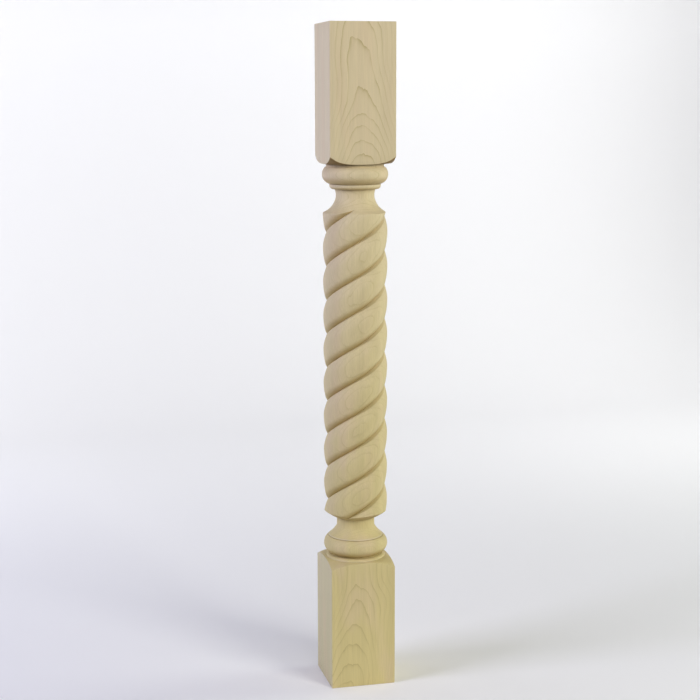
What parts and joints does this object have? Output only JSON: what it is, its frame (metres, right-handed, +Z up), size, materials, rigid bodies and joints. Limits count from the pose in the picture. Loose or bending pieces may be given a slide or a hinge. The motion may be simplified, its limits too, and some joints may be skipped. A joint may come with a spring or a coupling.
{
  "type": "newel post",
  "caption": "Square timber newel post turned between its square ends, with a right-hand rope twist carved along the turned length between rounded beads.",
  "frame": {"origin": "Centre of the post's square underside, on the floor.", "axes": "+Z runs up along the post's length. X and Y are square to its faces. The front face, the one that the picture shows most of, looks along -Y."},
  "size_m": [0.0888, 0.0888, 0.8953],
  "materials": {
    "bare_wood": "bare, sanded smooth, satin-matt"
  },
  "bodies": {
    "root": {"newel_post": "bare_wood"}
  },
  "joints": []
}
